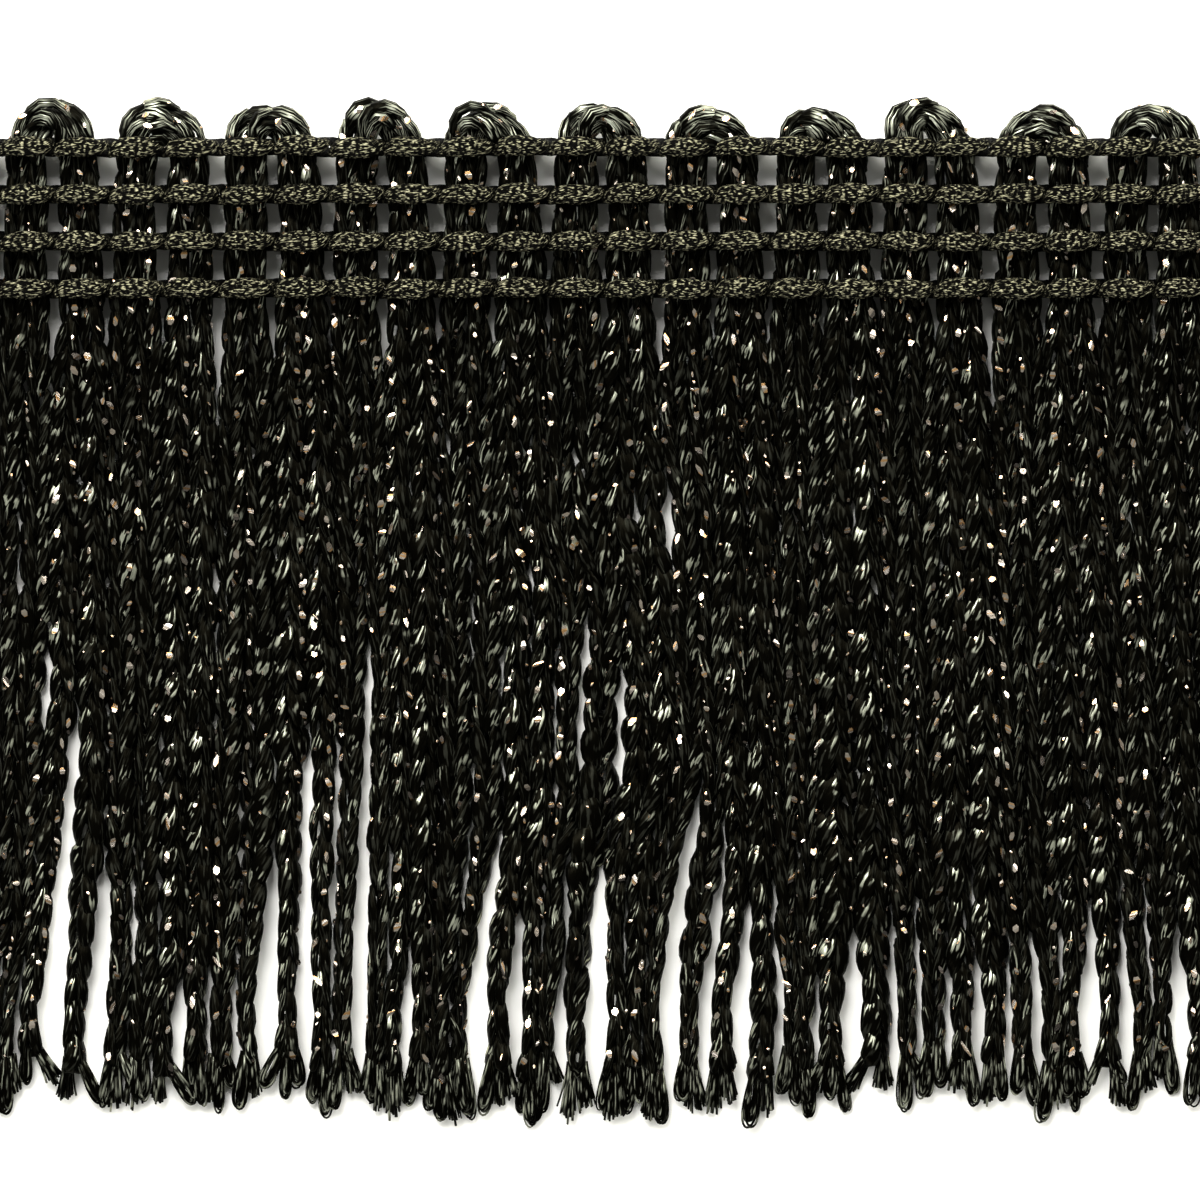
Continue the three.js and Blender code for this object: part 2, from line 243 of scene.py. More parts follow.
# The face of each leg of a stitch: its first and last sample, the sample where it shines most, and the
# least and most that it shines there
Leg = namedtuple("Leg", "first last shiny least most")
# The legs' shine is painted highlight, laid where the lights fall: more on the right leg than the left
LEFT_LEG = Leg(2.5, 6.5, 4.5, 0.1, 0.6)
RIGHT_LEG = Leg(12.0, 15.5, 13.7, 0.6, 1.0)
SHINE_PEAK = 1.4            # share at that sample, before it is held to 1
SHINE_FADE = 2.5            # samples over which the share falls by 1
SIDE_SHINE = 0.15           # of the yarn's sides, as a share of its face, before easing; the painted highlight lies on the face

# The cut ends of the strands; pairs are the least and the most of a random value
TUFT_HOLD = 0.6 * MM        # length of a cut end that lies inside the last stitches
FEWEST_FINGERS = 2          # into which a cut end divides
MOST_FINGERS = 3
SHORT_FINGERS = (0.7, 0.95)  # lengths of all but the longest, as shares of it
FINGER_HEIGHTS = (0.35, 0.6)  # where they begin, in millimetres
FINGER_ROOTS = 0.6          # share of the strand's width over which the fingers begin
FINGER_ENDS = 0.85          # and end
FINGER_WANDER = 0.12 * MM
STRAY_SHARE = 0.14          # of the fingers that stray
STRAY_LEANS = (0.2, 0.5)    # how far they lean aside, in radians
STRAY_REACH = 0.85          # their length, as a share of the others'
TUFT_SHARE = 0.4            # of the fingers that end loose, not folded
TUFT_REACH = 0.92
TUFT_WIDTHS = (0.6, 1.1)    # in millimetres
TUFT_ROOT = 0.45 * MM       # width of a tuft where it begins
TUFT_SPREAD = 1.6           # how late it spreads
TUFT_CURL = 0.07 * MM
TUFT_STEPS = 6
TUFT_FULL = 0.94            # length of its middle filaments, as a share of its reach
TUFT_ROUND = 0.12           # how much shorter the outer ones are
TUFT_UNEVEN = 0.05
TUFT_CROWN = 0.28           # rise of its middle, in millimetres
CROWN_TURN = 2.6            # of that rise along the tuft, in radians
TUFT_LOFT = 0.1             # scatter of the ends' heights, in millimetres
TIP_DROOP = 0.2             # fall of every cut end, in millimetres
TUFT_TURN = 0.02            # of the map round a loose filament
FILAMENT_SPACING = 0.038 * MM
FILAMENT_HALVES = (0.04, 0.065)  # half-widths of the loose filaments, in millimetres
FILAMENT_CORNERS = 4
FOLD_REACH = 0.95
FOLD_BREADTHS = (0.34, 0.54)  # from the middle of a folded finger to its side, in millimetres
FOLD_SHUT = (0.2, 0.5)      # its breadth at the root, as a share of that
FOLD_ARCH = (0.0, 0.25)     # how high it rises, in millimetres
FOLD_FILAMENTS = 14
FOLD_STEPS = 15
FOLD_BLUNT = 0.55           # how square the fold is
FOLD_INNER = 0.12           # breadth of the innermost filament, as a share of the outermost
FOLD_SCATTER = 0.07 * MM
FOLD_NEAR = 0.80            # reach of the innermost filament, as a share of the outermost
FOLD_UNEVEN = 0.03
ARCH_TURN = 2.4             # of the arch along the finger, in radians
FOLD_STACK = 0.12           # how much higher the inner filaments lie, in millimetres
FOLD_LOFT = 0.05            # scatter of their heights, in millimetres
FOLD_TURN = 0.03            # of the map round a folded filament

# The facets of film
LEG_CHANGE = 0.12           # how often the film moves to the other leg
FILM_DRIFT = 0.35           # how far it strays along the leg over many stitches
FILM_SCATTER = 0.1          # and from one to the next
MOST_SPECKS = 3             # small facets beside each facet, and at least one
DRIFT_STITCHES = 9          # from one turn of the drift to the next
SPECK_SCALES = (0.3, 0.55)
FILM_TILT = 0.26            # of a facet, about in radians
FILM_TWIST = 0.35
FILM_UPWARD = 0.8           # how much a facet turns upward
FILM_LENGTHS = (0.6, 1.3)   # as shares of the film's length
FILM_WIDTHS = (0.7, 1.25)   # as shares of the film's width
FILM_BEND = 0.10
FILM_SLANT = 0.25           # of a facet's ends
FILM_LIFT = 0.03 * MM       # over the yarn
FILM_HALF_THICKNESS = 0.008 * MM
FILM_STEPS = np.array([-0.5, 0.05, 0.5])  # places along a facet
FILM_TAPER = np.array([0.5, 1.0, 0.65])  # and its breadth at each
FILM_CORNERS = np.array([[1, -1], [1, 1], [-1, 1], [-1, -1]])

# The twine of the heading cords
POINTS_PER_COLUMN = 20
CORD_CORNERS = 12
CORD_SINK = 0.12 * MM       # of the cords under the heading's top
CORD_STEEPNESS = 2.6        # how fast a cord goes down between columns
CORD_PASSING = 0.26 * MM    # how far each cord stands aside where the two pass
PASSING_POWER = 13          # how soon it comes back
CORD_WANDER = 0.035 * MM
LENS_START = 0.12           # share of the swing where a cord is still as narrow as its neck
LENS_POWER = 0.6
LENS_UNEVEN = 0.08
NECK_THICKNESS = 0.55       # as a share of the cord's
CORD_FACING = (0.0, 0.35, 1.0)

# How far apart the maps of like pieces start, in millimetres or, for the film, in facets
FILAMENT_MAPS = 50
FILM_MAPS = 90
CORD_MAPS = 40
ROW_MAPS = 17

# Grains of the finishes: how many to a turn round a piece, and to a millimetre or a facet along it
SHEEN_PATCHES = (2.5, 1.2, 1.0)
COARSE_FILAMENTS = 17.0
FINE_FILAMENTS = 24.0       # in the scallops
FINE_STROKES = 0.7          # their strokes along the yarn, as a share of the coarse ones
FILM_TINTS = (0.51, 1.7, 1.0)
FILM_WARMTH = (0.46, 2.3, 1.0)
FILM_CRINKLES = (3.0, 4.0, 1.0)
CORD_SPECKS = (48.0, 3.6, 1.0)
CORD_CRIMP = (14.0, 5.0, 1.0)
FLOOR_CLOUDS = (60.0, 60.0, 60.0)  # to a metre

# How the finishes shine; pairs are the values of a noise, or shares, where a look begins and is full
FILAMENT_SLANT = 0.05       # of the filaments round the yarn, in turns to a millimetre
FILAMENT_EDGE = 0.12        # of the noise, from a dull filament to a shiny one
WARM_GLOSS = (1.0, 0.92, 0.6)
RAISED_OVER = 0.8 * MM      # level over the scallops' base where their own sheen is full
RAISED_FILL = 0.015         # how much fuller of shiny filaments they are
RAISED_SHINE = 0.45         # and how much more of them shows
PATCHINESS = 0.9            # of the shine along the yarn
SHOWN = (0.46, 0.84)
DULL_SHINE = 0.02           # of filaments that don't show
PALE_FILM = (0.3, 0.7)
ORANGE_FILM = (0.57, 0.63)
# Painted highlight on the cords: pale specks where their filaments catch the light
HIGHLIGHT_SPECKS = (0.51, 0.61)
HIGHLIGHT_CRIMP = (0.43, 0.57)
UNSHADED_CORD = (0.58, 0.86)   # of the heading's height over which specks fade in; lower, painted shade darkens the diving cord
PALER = 1.02                # than the floor's colour, in its clouds

# Filament finishes: the noise value where a filament begins to shine, how evenly all of them show,
# and their strokes to a millimetre
YarnLook = namedtuple("YarnLook", "name lit_from evenly strokes")
KNIT_LOOK = YarnLook("black_filament_yarn", 0.54, 0.0, 1.1)
TIP_LOOK = YarnLook("frayed_filament_yarn", 0.525, 0.55, 0.35)

# Seeds of the hand-made unevenness
KNIT_SEED = 11
FILM_SEED = 23
TIP_SEED = 37
CORD_SEED = 41

# Colours of the lights
WHITE = (1.0, 1.0, 1.0)
WARM_WHITE = (1.0, 0.99, 0.97)
PALE_YELLOW = (1.0, 1.0, 0.9)
SOFT_YELLOW = (1.0, 1.0, 0.86)
FLOOR_REACH = 1.5           # of the surface to each side, in metres

Room = namedtuple("Room", "left right gap")
Chainette = namedtuple("Chainette", "line directions facings sides lengths widths")
Yarn = namedtuple("Yarn", "points directions facings half_breadths half_thicknesses along stitches")


class FringeChainette(PropertyGroup):
    """Sizes and colours of the knitted chainette and the film in it."""

    stitch_length: FloatProperty(
        name="Stitch length", description="Length of one stitch along the chainette",
        default=1.66 * MM, unit="LENGTH", precision=5)
    leg_spacing: FloatProperty(
        name="Leg spacing", description="From the chainette's middle to the middle of a leg",
        default=0.30 * MM, unit="LENGTH", precision=5)
    depth: FloatProperty(
        name="Depth", description="How far the legs stand out from the chainette's middle",
        default=0.25 * MM, unit="LENGTH", precision=5)
    yarn_breadth: FloatProperty(
        name="Yarn breadth", description="Breadth of the yarn across the middle of a leg",
        default=0.66 * MM, unit="LENGTH", precision=5)
    yarn_thickness: FloatProperty(
        name="Yarn thickness", description="Thickness of the flattened yarn",
        default=0.34 * MM, unit="LENGTH", precision=5)
    pair_spacing: FloatProperty(
        name="Pair spacing", description="Between the two chainettes of a heading column",
        default=0.98 * MM, unit="LENGTH", precision=5)
    black: FloatVectorProperty(
        name="Black", description="Colour of the filament yarn",
        default=(0.0005, 0.00045, 0.0003), subtype="COLOR", size=3)
    grey_sheen: FloatVectorProperty(
        name="Grey sheen", description="Colour that the shiny filaments mirror",
        default=(0.50, 0.52, 0.41), subtype="COLOR", size=3)
    film: FloatVectorProperty(
        name="Film", description="Colour of the metallic film",
        default=(0.62, 0.52, 0.42), subtype="COLOR", size=3)
    film_pale: FloatVectorProperty(
        name="Pale film", description="Colour of the paler stretches of film",
        default=(0.82, 0.74, 0.65), subtype="COLOR", size=3)
    film_orange: FloatVectorProperty(
        name="Orange film", description="Colour of the warmest stretches of film",
        default=(0.85, 0.50, 0.22), subtype="COLOR", size=3)
    film_share: FloatProperty(
        name="Film share", description="Share of the stitches that show a facet of film",
        default=1.0, min=0.0, max=1.0, subtype="FACTOR")
    film_length: FloatProperty(
        name="Film length", description="Length of a facet of film",
        default=0.38 * MM, unit="LENGTH", precision=5)
    film_width: FloatProperty(
        name="Film width", description="Width of the film",
        default=0.29 * MM, unit="LENGTH", precision=5)


class FringeHeading(PropertyGroup):
    """Sizes and colours of the twined heading cords."""

    breadth: FloatProperty(
        name="Cord breadth", description="Across the cord over a column",
        default=1.10 * MM, unit="LENGTH", precision=5)
    neck: FloatProperty(
        name="Cord neck", description="Across the cord between columns",
        default=0.50 * MM, unit="LENGTH", precision=5)
    thickness: FloatProperty(
        name="Cord thickness", description="Thickness of the cord over a column",
        default=0.56 * MM, unit="LENGTH", precision=5)
    brown_black: FloatVectorProperty(
        name="Brown-black", description="Colour between the cord's filaments",
        default=(0.001, 0.0009, 0.0006), subtype="COLOR", size=3)
    # Painted highlight: the pale colour of the specks where the cord's filaments catch the light
    speck_highlight: FloatVectorProperty(
        name="Brown-grey", description="Colour of the cord's filaments",
        default=(0.265, 0.25, 0.165), subtype="COLOR", size=3)


class FringeStage(PropertyGroup):
    """The pale surface, the light and the camera."""

    floor: FloatVectorProperty(
        name="Floor", description="Colour of the surface",
        default=(0.86, 0.855, 0.832), subtype="COLOR", size=3)
    key_power: FloatProperty(
        name="Key power", description="Power of the light beyond the scallops, a little to the left",
        default=4.4, unit="POWER")
    beyond_power: FloatProperty(
        name="Beyond power", description="Power of the lights to either side of it",
        default=1.3, unit="POWER")
    side_power: FloatProperty(
        name="Side power", description="Power of each long light beside the trim",
        default=1.5, unit="POWER")
    front_power: FloatProperty(
        name="Front power", description="Power of the light before the tips",
        default=0.94, unit="POWER")
    low_power: FloatProperty(
        name="Low power", description="Power of the low light behind the scallops",
        default=4.4, unit="POWER")
    overhead_power: FloatProperty(
        name="Overhead power", description="Power of the broad light overhead",
        default=0.3, unit="POWER")
    ceiling_power: FloatProperty(
        name="Ceiling power", description="Power of the dim ceiling that the film mirrors",
        default=1.2, unit="POWER")
    sky: FloatVectorProperty(
        name="Sky", description="Light from all round",
        default=(0.03, 0.03, 0.03), subtype="COLOR", size=3)
    lens: FloatProperty(
        name="Lens", description="Focal length of the camera, in millimetres",
        default=500.0, min=10.0, unit="CAMERA")
    view_width: FloatProperty(
        name="View width", description="Width of the picture on the surface",
        default=59.2 * MM, unit="LENGTH", precision=5)
    view_place: FloatProperty(
        name="View place", description="Place of the picture's middle along the trim",
        default=-0.16 * MM, unit="LENGTH", precision=5)
    view_level: FloatProperty(
        name="View level", description="Level of the picture's middle along the drop",
        default=0.74 * MM, unit="LENGTH", precision=5)


class Value:
    """A shader socket that can be written in sums: each operator adds a Math node."""

    def __init__(self, finish, socket):
        self.finish = finish
        self.socket = socket

    def _math(self, operation, first, second):
        return self.finish.node("ShaderNodeMath", {"operation": operation}, {0: first, 1: second})

    def __add__(self, other):
        return self._math("ADD", self, other)

    __radd__ = __add__

    def __sub__(self, other):
        return self._math("SUBTRACT", self, other)

    def __rsub__(self, other):
        return self._math("SUBTRACT", other, self)

    def __mul__(self, other):
        return self._math("MULTIPLY", self, other)

    __rmul__ = __mul__


class Finish:
    """A new material, its Principled shader and the nodes that feed it."""

    MIX_FIRST = 6           # sockets of a Mix node that mixes colours
    MIX_SECOND = 7
    MIX_RESULT = 2

    def __init__(self, name, constants):
        self.material = bpy.data.materials.new(name)
        self.material.use_nodes = True
        self.tree = self.material.node_tree
        self.shader = next(node for node in self.tree.nodes if node.type == "BSDF_PRINCIPLED")
        self.feed(constants)

    def node(self, kind, settings, inputs, output=0):
        """Adds a node, sets it up, and gives its output."""
        made = self.tree.nodes.new(kind)
        for name, value in settings.items():
            setattr(made, name, value)
        for name, value in inputs.items():
            self._put(made.inputs[name], value)
        return Value(self, made.outputs[output])

    def feed(self, inputs):
        """Sets or links the shader's own sockets."""
        for name, value in inputs.items():
            self._put(self.shader.inputs[name], value)

    def _put(self, socket, value):
        if isinstance(value, Value):
            self.tree.links.new(value.socket, socket)
        elif socket.type == "RGBA":
            socket.default_value = (*value, 1.0)
        else:
            socket.default_value = value

    def axis(self, vector, name):
        """One axis of a vector."""
        return self.node("ShaderNodeSeparateXYZ", {}, {0: vector}, name)

    def place(self):
        """Where a point is on the trim."""
        return self.node("ShaderNodeTexCoord", {}, {}, "Object")

    def yarn_map(self):
        """Turns round a yarn and millimetres along it."""
        return self.node("ShaderNodeUVMap", {"uv_map": YARN_MAP}, {})

    def wound(self, slant):
        """The yarn's map, sheared so that filaments wind round it."""
        uv = self.yarn_map()
        along = self.axis(uv, "Y")
        return self.node("ShaderNodeCombineXYZ", {}, {"X": self.axis(uv, "X") + slant * along, "Y": along})

    def noise(self, vector, grains, detail=1.0):
        """A noise value from 0 to 1, with so many grains to a unit of each axis."""
        scaled = self.node("ShaderNodeVectorMath", {"operation": "MULTIPLY"}, {0: vector, 1: grains})
        return self.node("ShaderNodeTexNoise", {}, {"Vector": scaled, "Scale": 1.0, "Detail": detail})

    def limits(self, value, low, high):
        """The value's share of the way from low to high, held to 0 and 1."""
        inputs = {"Value": value, "From Min": low, "From Max": high}
        return self.node("ShaderNodeMapRange", {"clamp": True}, inputs)

    def mix(self, share, first, second):
        """A colour between two colours."""
        inputs = {0: share, self.MIX_FIRST: first, self.MIX_SECOND: second}
        return self.node("ShaderNodeMix", {"data_type": "RGBA"}, inputs, self.MIX_RESULT)

    def bump(self, height, strength, distance):
        """A normal raised by a height."""
        inputs = {"Height": height, "Strength": strength, "Distance": distance}
        return self.node("ShaderNodeBump", {}, inputs)


class Joined:
    """Tubes and strips gathered into the arrays of one mesh, each with a map along its length."""

    def __init__(self):
        self.points = []
        self.corners = []
        self.sizes = []
        self.maps = []
        self.painted_highlights = []
        self.count = 0

    def tube(self, rings, along, around=(0.0, 1.0), painted_highlight=None):
        """Adds a closed tube through rings; along and around are its map's lengths and turn."""
        if painted_highlight is not None:
            self.painted_highlights.append(painted_highlight.ravel())
        steps, sides = rings.shape[:2]
        ring = np.arange(steps - 1)[:, None]
        side = np.arange(sides)[None, :]
        beside = (side + 1) % sides
        quads = np.stack([ring * sides + side, (ring + 1) * sides + side,
                          (ring + 1) * sides + beside, ring * sides + beside], axis=-1)
        step = (around[1] - around[0]) / sides
        left = np.broadcast_to(around[0] + step * side, quads.shape[:2])
        right = left + step
        near = np.broadcast_to(along[:-1, None], quads.shape[:2])
        far = np.broadcast_to(along[1:, None], quads.shape[:2])
        corner_map = np.stack([np.stack([left, near], -1), np.stack([left, far], -1),
                               np.stack([right, far], -1), np.stack([right, near], -1)], axis=2)
        start = np.arange(sides)
        end = (steps - 1) * sides + start[::-1]
        cap_map = np.stack([around[0] + step * start, np.full(sides, along[0])], -1)
        end_map = np.stack([around[0] + step * start[::-1], np.full(sides, along[-1])], -1)
        self.points.append(rings.reshape(-1, 3))
        self.corners.append(self.count + np.concatenate([quads.reshape(-1), start, end]))
        self.sizes.append(np.concatenate([np.full((steps - 1) * sides, 4), [sides, sides]]))
        self.maps.append(np.concatenate([corner_map.reshape(-1, 2), cap_map, end_map]))
        self.count += steps * sides

    def piece(self, name, material, smooth=True):
        """Makes the object, with its material and its map, and no point below the surface."""
        points = np.concatenate(self.points)
        points[:, 2] = np.maximum(points[:, 2], 0.0)
        corners = np.concatenate(self.corners)
        sizes = np.concatenate(self.sizes)
        mesh = bpy.data.meshes.new(name)
        mesh.vertices.add(len(points))
        mesh.vertices.foreach_set("co", points.astype(np.float32).ravel())
        mesh.loops.add(len(corners))
        mesh.loops.foreach_set("vertex_index", corners.astype(np.int32))
        mesh.polygons.add(len(sizes))
        mesh.polygons.foreach_set("loop_start", (np.cumsum(sizes) - sizes).astype(np.int32))
        mesh.polygons.foreach_set("use_smooth", np.full(len(sizes), smooth))
        mesh.update(calc_edges=True)
        layer = mesh.uv_layers.new(name=YARN_MAP)
        layer.uv.foreach_set("vector", np.concatenate(self.maps).astype(np.float32).ravel())
        if self.painted_highlights:
            painted_highlight = mesh.attributes.new(PAINTED_HIGHLIGHT, "FLOAT", "POINT")
            painted_highlight.data.foreach_set("value", np.concatenate(self.painted_highlights).astype(np.float32))
        mesh.materials.append(material)
        obj = bpy.data.objects.new(name, mesh)
        bpy.context.scene.collection.objects.link(obj)
        return obj


def unit(vectors):
    """The vectors at length 1."""
    lengths = np.linalg.norm(vectors, axis=-1, keepdims=True)
    return vectors / np.maximum(lengths, 1e-12)


def square_to(vectors, directions):
    """The vectors turned square to the directions, at length 1."""
    return unit(vectors - (vectors * directions).sum(-1, keepdims=True) * directions)


def ease(value):
    """A smooth step from 0 to 1."""
    held = np.clip(value, 0.0, 1.0)
    return held * held * (3 - 2 * held)


def mix(first, second, share):
    """A value between two."""
    return first + (second - first) * share


def wander(rng, count, knots):
    """A smooth random walk of the given number of samples, about 1 high."""
    heights = rng.normal(size=max(knots, 2))
    places = np.linspace(0, len(heights) - 1, count)
    near = np.minimum(places.astype(int), len(heights) - 2)
    return mix(heights[near], heights[near + 1], ease(places - near))


def lengths_along(points):
    """Distance along a line of points, from its first."""
    steps = np.linalg.norm(np.diff(points, axis=0), axis=1)
    return np.concatenate([[0.0], np.cumsum(steps)])


def turns(corners):
    """The angles of a ring's corners."""
    return 2 * np.pi * np.arange(corners) / corners


def oval_rings(points, directions, facings, half_breadths, half_thicknesses, corners):
    """Rings of an oval section, flat towards its facing, square to the directions."""
    out = square_to(facings, directions)
    side = np.cross(directions, out)
    turn = turns(corners)
    across = side[:, None, :] * (np.cos(turn)[None, :] * half_breadths[:, None])[..., None]
    up = out[:, None, :] * (np.sin(turn)[None, :] * half_thicknesses[:, None])[..., None]
    return points[:, None, :] + across + up


def loop_middle(loop):
    """Where a loop's scallop stands along the trim."""
    return (loop - (LOOP_COUNT - 1) / 2) * 2 * COLUMN_PITCH


def column_offsets(settings):
    """The four strands of a loop where they leave the heading, from its middle."""
    outer = (COLUMN_PITCH + settings.pair_spacing) / 2
    inner = (COLUMN_PITCH - settings.pair_spacing) / 2
    return (-outer, -inner, inner, outer)


def spreading(strand, levels):
    """How far a strand has spread from its column, from 0 to 1."""
    gap = (strand + 1) // 2
    return ease((FAN_START - levels) / LONG_FANS.get(gap, FAN_LENGTH))


def fallen(levels):
    """How far down the drop the levels are, from the heading's foot to the longest tip."""
    return (HEADING_FOOT - levels) / (HEADING_FOOT - LONGEST_TIP)


def even_edge(edge):
    """The place before a strand in an even curtain."""
    return (edge - STRAND_COUNT / 2) * STRAND_PITCH


def parting_line(parting, levels):
    """A parting's middle at levels below the heading."""
    knots = [-FAN_START, -parting.opens * MM, -WIDEST]
    places = [even_edge(parting.after + 1), parting.top * MM, parting.widest * MM]
    return np.interp(-levels, knots, places)


def parting_width(parting, levels):
    """A parting's clear width: thin at first, then wider, until the tufts close it."""
    opens = parting.opens * MM
    thin = ease((opens - levels) / THIN_LENGTH)
    opened = np.clip((opens - levels) / (opens - WIDEST), 0.0, 1.0) ** PARTING_CURVE
    closed = ease((CLOSED + CLOSING - levels) / CLOSING)
    return parting.clear * MM * mix(opened, thin, THIN_SHARE) * (1 - closed)


def strand_room(strand, levels):
    """The space a strand has among the strands between two partings, and the wider gap beside it."""
    before = [parting for parting in PARTINGS if parting.after < strand]
    beyond = [parting for parting in PARTINGS if parting.after >= strand]
    spread = 1 + FLARE * fallen(levels)
    first, left, gap = 0, even_edge(0) * spread, np.zeros(len(levels))
    if before:
        width = parting_width(before[-1], levels)
        first = before[-1].after + 1
        left = parting_line(before[-1], levels) + width / 2
        gap = width if first == strand else gap
    last, right = STRAND_COUNT - 1, even_edge(STRAND_COUNT) * spread
    if beyond:
        width = parting_width(beyond[0], levels)
        last = beyond[0].after
        right = parting_line(beyond[0], levels) - width / 2
        gap = np.maximum(gap, width) if last == strand else gap
    count = last - first + 1
    share = (strand - first) / count
    return Room(mix(left, right, share), mix(left, right, share + 1 / count), gap)


def slit_share(slit, levels, past=0.0):
    """A share that eases from 0 at a slit's ends to 1 in its middle, or starts past its ends."""
    along = np.abs(levels - slit.middle * MM) / (slit.reach * MM)
    return ease(SLIT_STEEPNESS * (1 - along) + past)


def strand_place(settings, strand, levels):
    """A strand's place along the trim at levels below the heading."""
    loop, place = divmod(strand, STRANDS_PER_LOOP)
    column = loop_middle(loop) + column_offsets(settings)[place]
    room = strand_room(strand, levels)
    places = mix(column, (room.left + room.right) / 2, spreading(strand, levels))
    for slit in SLITS:
        beside = strand - slit.after - 0.5
        pushed = math.copysign(0.5, beside) * max(0.0, 1 - abs(beside) / PUSHED_STRANDS) * slit.clear
        carried = max(0.0, 1 - abs(beside) / CARRIED_STRANDS) * slit.aside
        opening = pushed * MM * slit_share(slit, levels)
        places = places + opening + carried * MM * slit_share(slit, levels, CARRY_PAST)
    return places


def strand_width(strand, levels):
    """A strand's width: it laps over its neighbours, but keeps clear of a parting or a slit."""
    room = strand_room(strand, levels)
    clear = np.clip(room.gap / CLEAR_GAP, 0.0, 1.0)
    for slit in SLITS:
        if strand in (slit.after, slit.after + 1):
            clear = np.maximum(clear, slit_share(slit, levels))
    hanging = np.maximum((room.right - room.left) * mix(OVERLAP, CLEAR_OVERLAP, clear), LEAST_WIDTH)
    return mix(HEADING_WIDTH, hanging, spreading(strand, levels))


def hanging_line(settings, strand, rng):
    """The middle of a hanging strand, from where its tuft starts up to the heading, and its width."""
    levels = np.linspace(TIP_LEVELS[strand] + TUFT_LENGTH, HEADING_FOOT, HANGING_POINTS)
    settled = ease((HEADING_FOOT - levels) / SETTLE_LENGTH)
    sway = SWAY * wander(rng, HANGING_POINTS, SWAY_KNOTS) * settled
    lift = RIPPLE * np.abs(wander(rng, HANGING_POINTS, SWAY_KNOTS)) * settled
    places = strand_place(settings, strand, levels) + sway
    heights = mix(HEADING_RIDE, STRAND_RIDE, settled) + lift
    return np.stack([places, levels, heights, strand_width(strand, levels)], -1)


def scallop_line(settings, loop, left, right, height):
    """The middle of a chainette over its scallop, from left column to right, and its width."""
    offsets = column_offsets(settings)
    row = LOOPS[loop]
    angle = np.linspace(np.pi, 0, SCALLOP_POINTS)
    travelled = ease(np.linspace(0, 1, SCALLOP_POINTS))
    radius = mix(-offsets[left], offsets[right], travelled)
    crest = offsets[-1] if row.cross == "nested" else COLUMN_PITCH / 2
    rise = SCALLOP_RISE + row.lift * MM - CREST_SHARE * SCALLOP_WIDTH
    bulge = INNER_BULGE if (left, right) == (1, 2) else BULGE
    x = radius * np.cos(angle) * (1 - SCALLOP_PINCH * np.sqrt(np.sin(angle)))
    y = rise * radius / crest * np.sin(angle)
    lean = row.lean * MM * y / rise
    z = HEADING_RIDE + (height + bulge) * np.sin(angle) ** 2
    width = mix(HEADING_WIDTH, SCALLOP_WIDTH, np.sin(angle) ** 2)
    return np.stack([loop_middle(loop) + x + lean, SCALLOP_BASE + y, z, width], -1)


def chainette_ends(loop):
    """The left and right strand of each of a loop's two chainettes, and how high each passes."""
    cross = LOOPS[loop].cross
    if cross == "nested":
        return ((0, 3, 0.0), (1, 2, 0.0))
    lift = CROSS_LIFT if cross == "left" else -CROSS_LIFT
    return ((0, 2, lift), (1, 3, -lift))


def smoothed(line, passes=3):
    """The line with its kinks rounded, its ends kept."""
    for _ in range(passes):
        line[1:-1] = (line[:-2] + 2 * line[1:-1] + line[2:]) / 4
    return line


def chainette_line(settings, loop, which):
    """The middle of one chainette from tip to tip, with its directions and facings."""
    rng = np.random.default_rng((KNIT_SEED, loop, which))
    left, right, height = chainette_ends(loop)[which]
    first = loop * STRANDS_PER_LOOP
    rise = hanging_line(settings, first + left, rng)
    fall = hanging_line(settings, first + right, rng)[::-1]
    over = scallop_line(settings, loop, left, right, height)
    line = smoothed(np.concatenate([rise, over, fall]))
    lengths = lengths_along(line[:, :3])
    even = np.linspace(0, lengths[-1], CHAINETTE_POINTS)
    line = np.stack([np.interp(even, lengths, line[:, axis]) for axis in range(4)], -1)
    line, widths = line[:, :3], line[:, 3]
    directions = unit(np.gradient(line, axis=0))
    up = square_to(np.tile(UP, (len(line), 1)), directions)
    side = np.cross(directions, up)
    lower = ease((LOOSE_FROM - line[:, 1]) / LOOSE_LENGTH)
    roll = wander(rng, len(line), ROLL_KNOTS) * mix(HIGH_ROLL, LOW_ROLL, lower)
    facings = up * np.cos(roll)[:, None] + side * np.sin(roll)[:, None]
    sides = np.cross(directions, facings)
    return Chainette(line, directions, facings, sides, even, widths)


def stitch_samples(count):
    """Samples of the stitch table, rounded between its points and into the stitches beside it."""
    table = np.array(STITCH)
    before, after = table[-1:].copy(), table[:2].copy()
    before[:, 1] -= 1
    after[:, 1] += 1
    points = np.concatenate([before, table, after])
    places = np.arange(count) / count * len(table)
    near = places.astype(int)
    t = (places - near)[:, None]
    p0, p1, p2, p3 = (points[near + k] for k in range(4))
    return 0.5 * (2 * p1 + (p2 - p0) * t + (2 * p0 - 5 * p1 + 4 * p2 - p3) * t ** 2
                  + (3 * p1 - p0 - 3 * p2 + p3) * t ** 3)


def at_places(places, lengths, vectors):
    """The vectors along a line, read at places along it."""
    return np.stack([np.interp(places, lengths, vectors[:, axis]) for axis in range(3)], -1)


